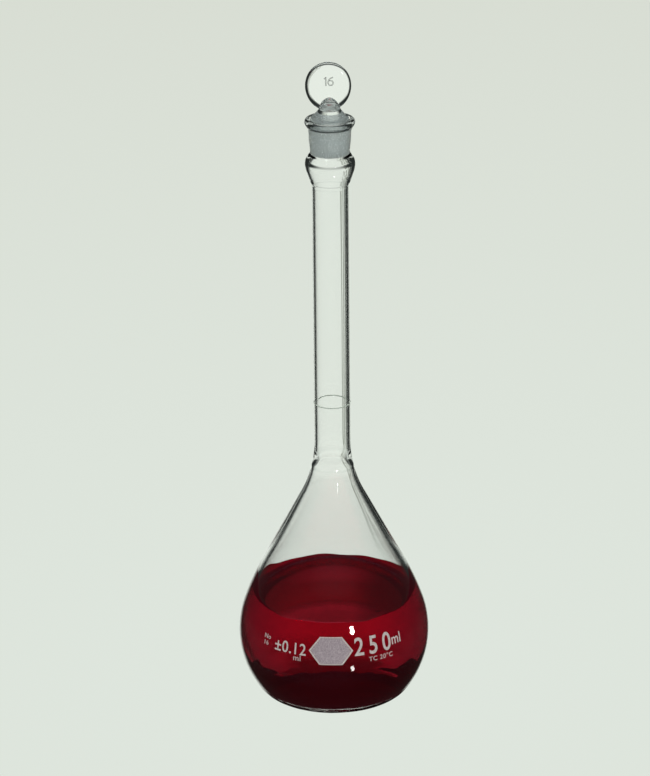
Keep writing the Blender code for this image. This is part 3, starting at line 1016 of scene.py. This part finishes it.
def lettering(text, height, width_scale=1.0, embolden=0.0, spacing=1.06):
    """The outline of a text as a flat mesh centred on the origin, its capitals height tall."""
    curve = bpy.data.curves.new("lettering", "FONT")
    curve.body = text
    curve.size = height / CAPITAL_SHARE
    curve.offset = embolden
    curve.resolution_u = 6
    curve.space_character = spacing
    obj = bpy.data.objects.new("lettering", curve)
    bpy.context.scene.collection.objects.link(obj)
    bpy.context.view_layer.update()
    mesh = bpy.data.meshes.new_from_object(obj)
    bpy.data.objects.remove(obj)
    shape = bmesh.new()
    shape.from_mesh(mesh)
    bpy.data.meshes.remove(mesh)
    xs = [v.co.x for v in shape.verts]
    middle = (min(xs) + max(xs)) / 2
    for vert in shape.verts:
        vert.co.x = (vert.co.x - middle) * width_scale
        vert.co.y -= height / 2
    return shape


def make_text(name, text, height, azimuth, latitude, mat, **style):
    """A fired text on the ball, at an azimuth and a latitude in degrees."""
    shape = lettering(text, height, **style)
    bmesh.ops.remove_doubles(shape, verts=shape.verts, dist=TOUCH)
    cut_in_cells(shape, LETTER_CELL)
    return raise_mark(name, shape, mat, ball_place(math.radians(latitude), math.radians(azimuth)))


def hexagon(width, flat_width, height):
    half, flat, up = width / 2, flat_width / 2, height / 2
    return [(half, 0), (flat, up), (-flat, up), (-half, 0), (-flat, -up), (flat, -up)]


def make_patch(mat, border_mat):
    """The six-sided write-on patch and its brighter border."""
    outer = hexagon(PATCH_WIDTH, PATCH_FLAT_WIDTH, PATCH_HEIGHT)
    share = 1 - 2 * PATCH_BORDER / PATCH_HEIGHT
    inner = [(x * share - math.copysign(PATCH_POINT_INSET, x), y * share) for x, y in outer]
    place = ball_place(PATCH_LATITUDE, PATCH_AZIMUTH)
    field = bmesh.new()
    field.faces.new([field.verts.new((x, y, 0.0)) for x, y in inner])
    cut_in_cells(field, LETTER_CELL)
    border = bmesh.new()
    ring_out = [border.verts.new((x, y, 0.0)) for x, y in outer]
    ring_in = [border.verts.new(BORDER_CLEARANCE * Vector((x, y, 0.0))) for x, y in inner]
    join_rings(border, ring_out, ring_in)
    cut_in_cells(border, LETTER_CELL)
    return [
        raise_mark("write_on_patch", field, mat, place),
        raise_mark("patch_border", border, border_mat, place),
    ]


# --- Studio ---


def make_camera():
    data = bpy.data.cameras.new("camera")
    data.lens = CAMERA_LENS
    camera = bpy.data.objects.new("camera", data)
    bpy.context.scene.collection.objects.link(camera)
    turn = (CAMERA_AIM - CAMERA_PLACE).to_track_quat("-Z", "Y").to_matrix().to_4x4()
    roll = Matrix.Rotation(CAMERA_ROLL, 4, "Z")
    camera.matrix_world = Matrix.Translation(CAMERA_PLACE) @ turn @ roll
    bpy.context.scene.camera = camera
    bpy.context.view_layer.update()
    return camera


def stage_mesh(name, width, depth, mat, cells=1):
    """A flat rectangle of the stage."""
    shape = bmesh.new()
    bmesh.ops.create_grid(shape, x_segments=cells, y_segments=cells, size=0.5)
    for vert in shape.verts:
        vert.co.x *= width
        vert.co.y *= depth
    mesh = bpy.data.meshes.new(name)
    shape.to_mesh(mesh)
    shape.free()
    obj = add_object(name, mesh, [mat])
    return obj


def emission_material(name):
    mat, tree, shader = new_material(name)
    tree.nodes.remove(shader)
    glow = add_node(tree, "ShaderNodeEmission")
    link(glow.outputs["Emission"], tree.nodes["Material Output"].inputs["Surface"])
    mat.cycles.emission_sampling = "NONE"
    return mat, tree, glow


def make_floor():
    """A pale, evenly lit floor, a little darker far off."""
    mat, tree, glow = emission_material("floor_paper")
    tones = ramp(tree, distance_from_axis(tree), [(0.0, FLOOR_NEAR), (1.0, FLOOR_FAR)])
    link(tones, glow.inputs["Color"])
    floor = stage_mesh("floor", FLOOR_SIZE, FLOOR_SIZE, mat)
    floor.visible_glossy = False
    floor.visible_transmission = False


def make_world():
    """Pale for the camera and for mat surfaces, and dark with a dim blue sky for the glass."""
    world = bpy.data.worlds.new("studio")
    bpy.context.scene.world = world
    world.use_nodes = True
    tree = world.node_tree
    pale = tree.nodes["Background"]
    pale.inputs["Color"].default_value = (*FLOOR_FAR, 1.0)
    dim = add_node(tree, "ShaderNodeBackground")
    up = split_place(tree, "Generated")["Z"]
    link(ramp(tree, up, DIM_SKY), dim.inputs["Color"])
    rays = add_node(tree, "ShaderNodeLightPath").outputs
    seen = calculate(tree, "ADD", rays["Is Camera Ray"], rays["Diffuse Depth"], use_clamp=True)
    show_mix(tree, seen, dim.outputs["Background"], pale.outputs["Background"], "World Output")


def hide_from_camera(obj):
    obj.visible_camera = False
    obj.visible_diffuse = False
    obj.visible_shadow = False
    obj.visible_volume_scatter = False


def field_share(tree, beyond):
    """1 over most of the bright field, and 0 past the soft edges that its angles give it."""
    place = split_place(tree)
    share = None
    for axis, sign, angles in FIELD_EDGES:
        span = [sign * beyond * math.tan(math.radians(angle)) for angle in angles]
        edge = between(tree, place[axis], span, 1.0, 0.0, "SMOOTHSTEP")
        share = edge if share is None else calculate(tree, "MULTIPLY", share, edge)
    return share


def make_bright_field(camera):
    """A bright card far behind the flask, with soft edges. Past it the glass sees black."""
    beyond = BRIGHT_FIELD_DISTANCE - CAMERA_TO_FLASK
    mat, tree, glow = emission_material("bright_field")
    span = [beyond * math.tan(math.radians(angle)) for angle in STREAKS_FADE]
    beside = between(tree, split_place(tree)["X"], span, curve="SMOOTHSTEP")
    streaks = ramp(tree, noise(tree, STREAK_SCALE, stretch=STREAK_STRETCH), STREAK_TINTS)
    tone = add_node(tree, "ShaderNodeMix", {"A": (*BRIGHT_FIELD, 1.0)}, data_type="RGBA")
    link(beside, tone.inputs["Factor"])
    link(streaks, tone.inputs["B"])
    link(tone.outputs["Result"], glow.inputs["Color"])
    clear = add_node(tree, "ShaderNodeBsdfTransparent")
    share = field_share(tree, beyond)
    show_mix(tree, share, clear.outputs["BSDF"], glow.outputs["Emission"])
    size = 2 * beyond * math.tan(math.radians(FIELD_REACH))
    card = stage_mesh("bright_field", size, size, mat)
    hide_from_camera(card)
    fix_to_camera(card, camera)
    card.location = (0.0, 0.0, -BRIGHT_FIELD_DISTANCE)


def side_shade(tree, distance):
    """1 along the middle of the floor, and less close to the foot on the right."""
    radii = (SIDE_SHADE_RADIUS, SIDE_SHADE_RADIUS + SIDE_SHADE_FADE)
    least = between(tree, distance, radii, SIDE_SHADE_LEAST, 1.0, "SMOOTHSTEP")
    span = (SIDE_SHADE_START, SIDE_SHADE_END)
    side = between(tree, split_place(tree)["X"], span, 1.0, 1.0, "SMOOTHSTEP")
    link(least, side.node.inputs["To Max"])
    return side


def make_near_floor():
    """The floor round the foot as the glass sees it: shaded under the flask, and gone by its rim."""
    mat, tree, glow = emission_material("near_floor")
    distance = distance_from_axis(tree)
    share = add_node(tree, "ShaderNodeMath", {1: NEAR_FLOOR_RADIUS}, operation="DIVIDE")
    link(distance, share.inputs[0])
    stops = [
        (0.9 * SHADE_INNER_RADIUS / NEAR_FLOOR_RADIUS, FLOOR_NEAR),
        (1.1 * SHADE_INNER_RADIUS / NEAR_FLOOR_RADIUS, SHADE),
        (SHADE_OUTER_RADIUS / NEAR_FLOOR_RADIUS, SHADE),
        (SHADE_END_RADIUS / NEAR_FLOOR_RADIUS, FLOOR_NEAR),
        (1.0, FLOOR_NEAR),
    ]
    link(ramp(tree, share.outputs["Value"], stops), glow.inputs["Color"])
    link(side_shade(tree, distance), glow.inputs["Strength"])
    radii = (NEAR_FLOOR_FADE_START, NEAR_FLOOR_RADIUS)
    gone = between(tree, distance, radii, curve="SMOOTHSTEP")
    clear = add_node(tree, "ShaderNodeBsdfTransparent")
    show_mix(tree, gone, glow.outputs["Emission"], clear.outputs["BSDF"])
    width = 2 * NEAR_FLOOR_RADIUS
    disc = stage_mesh("near_floor", width, width, mat, NEAR_FLOOR_CELLS)
    disc.location = (0.0, 0.0, -NEAR_FLOOR_DEPTH)
    hide_from_camera(disc)
    disc.visible_glossy = False


def fix_to_camera(obj, camera):
    obj.parent = camera
    obj.matrix_parent_inverse = Matrix.Identity(4)


def face_ball(obj, camera, direction, distance):
    """Fixes a lamp or a card to the camera, this far from the ball and facing it."""
    fix_to_camera(obj, camera)
    ball = camera.matrix_world.inverted() @ Vector((0.0, 0.0, BULB_CENTRE_Z))
    outwards = Vector(direction).normalized()
    obj.location = ball + outwards * distance
    obj.rotation_mode = "QUATERNION"
    obj.rotation_quaternion = outwards.to_track_quat("Z", "Y")


def make_softbox(camera):
    """A small oval softbox by the camera, to its right."""
    data = bpy.data.lights.new("softbox", "AREA")
    data.shape = "ELLIPSE"
    data.size, data.size_y = SOFTBOX_SIZE
    data.energy = SOFTBOX_ENERGY
    light = bpy.data.objects.new("softbox", data)
    bpy.context.scene.collection.objects.link(light)
    light.visible_camera = False
    face_ball(light, camera, SOFTBOX_DIRECTION, SOFTBOX_DISTANCE)


def make_glint_card(camera):
    """A small bright card low at the front right, seen only as a glint on the ball."""
    mat, _, glow = emission_material("glint_card")
    set_inputs(glow, {"Color": GLINT_COLOUR, "Strength": GLINT_STRENGTH})
    card = stage_mesh("glint_card", *GLINT_CARD_SIZE, mat)
    hide_from_camera(card)
    card.visible_transmission = False
    face_ball(card, camera, GLINT_DIRECTION, GLINT_DISTANCE)


def make_marks(white, lilac):
    """The patch and the fired texts. Their places are degrees round the ball and above its middle."""
    marks = make_patch(lilac, white)
    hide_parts("marking_patch")
    digits = {"width_scale": 0.8, "spacing": 1.45, "embolden": 0.14 * MM}
    unit = {"width_scale": 0.8, "embolden": 0.06 * MM}
    tolerance = {"width_scale": 0.88, "embolden": 0.05 * MM}
    for name, text, height, azimuth, latitude, style in (
        ("volume_mark", "250", 7.6 * MM, 24.5, 13.0, digits),
        ("unit_mark", "ml", 4.5 * MM, 41.0, 13.0, unit),
        ("temperature_mark", "TC 20°C", 2.0 * MM, 29.2, 4.2, {"spacing": 1.1}),
        ("tolerance_mark", "±0.12", 4.9 * MM, -28.0, 10.8, tolerance),
        ("tolerance_unit_mark", "ml", 2.5 * MM, -23.0, 5.2, {}),
        ("joint_size_mark", "16", 1.9 * MM, -45.5, 9.6, {}),
        ("joint_mark", "No", 1.9 * MM, -45.0, 13.6, {}),
    ):
        marks.append(make_text(name, text, height, azimuth, latitude, white, **style))
    for mark in marks:
        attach(mark, "flask")


def build_flask():
    glass = clear_glass("flask_glass")
    add_heel_ripples(glass)
    wet_glass = wetted_glass("wetted_glass")
    socket_clear = clear_glass("socket_clear")
    ground = ground_glass("ground_socket")
    seam = fused_seam("fused_seam")
    side = solution("solution_side", 1.0)
    top = solution_top("solution_top")
    line = enamel("line_enamel_grain", LINE_TONES, 3000.0, LINE_CLEARNESS)
    flask = {
        make_bulb(glass, wet_glass, seam): ("bulb", "clear_glass"),
        make_neck(glass, seam): ("neck_tube", "clear_glass"),
        make_socket(socket_clear, ground, seam): ("stopper_socket", "clear_glass"),
        make_solution(side, top): ("red_solution", "red_solution"),
        make_line(line): ("graduation_line", "line_enamel"),
    }
    for piece, (node, slot) in flask.items():
        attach(piece, "flask")
        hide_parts(node)
    white = enamel("letter_enamel", LETTER_TONES, 2400.0)
    lilac = enamel("patch_field_enamel", PATCH_TONES, 2700.0)
    make_marks(white, lilac)


def build_stopper():
    glass = clear_glass("stopper_clear")
    stopper = make_stopper(glass, ground_glass("ground_plug"))
    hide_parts("stopper")
    for piece in (stopper, make_disc_mark(glass)):
        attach(piece, "stopper")


def build_studio():
    scene = bpy.context.scene
    scene.view_settings.view_transform = "Standard"
    scene.cycles.max_bounces = MOST_BOUNCES
    scene.cycles.transmission_bounces = MOST_BOUNCES
    scene.cycles.glossy_bounces = MOST_GLOSSY_BOUNCES
    scene.cycles.sample_clamp_indirect = MOST_INDIRECT_LIGHT
    camera = make_camera()
    make_world()
    make_floor()
    make_bright_field(camera)
    make_near_floor()
    make_softbox(camera)
    make_glint_card(camera)


build_flask()
build_stopper()
build_studio()
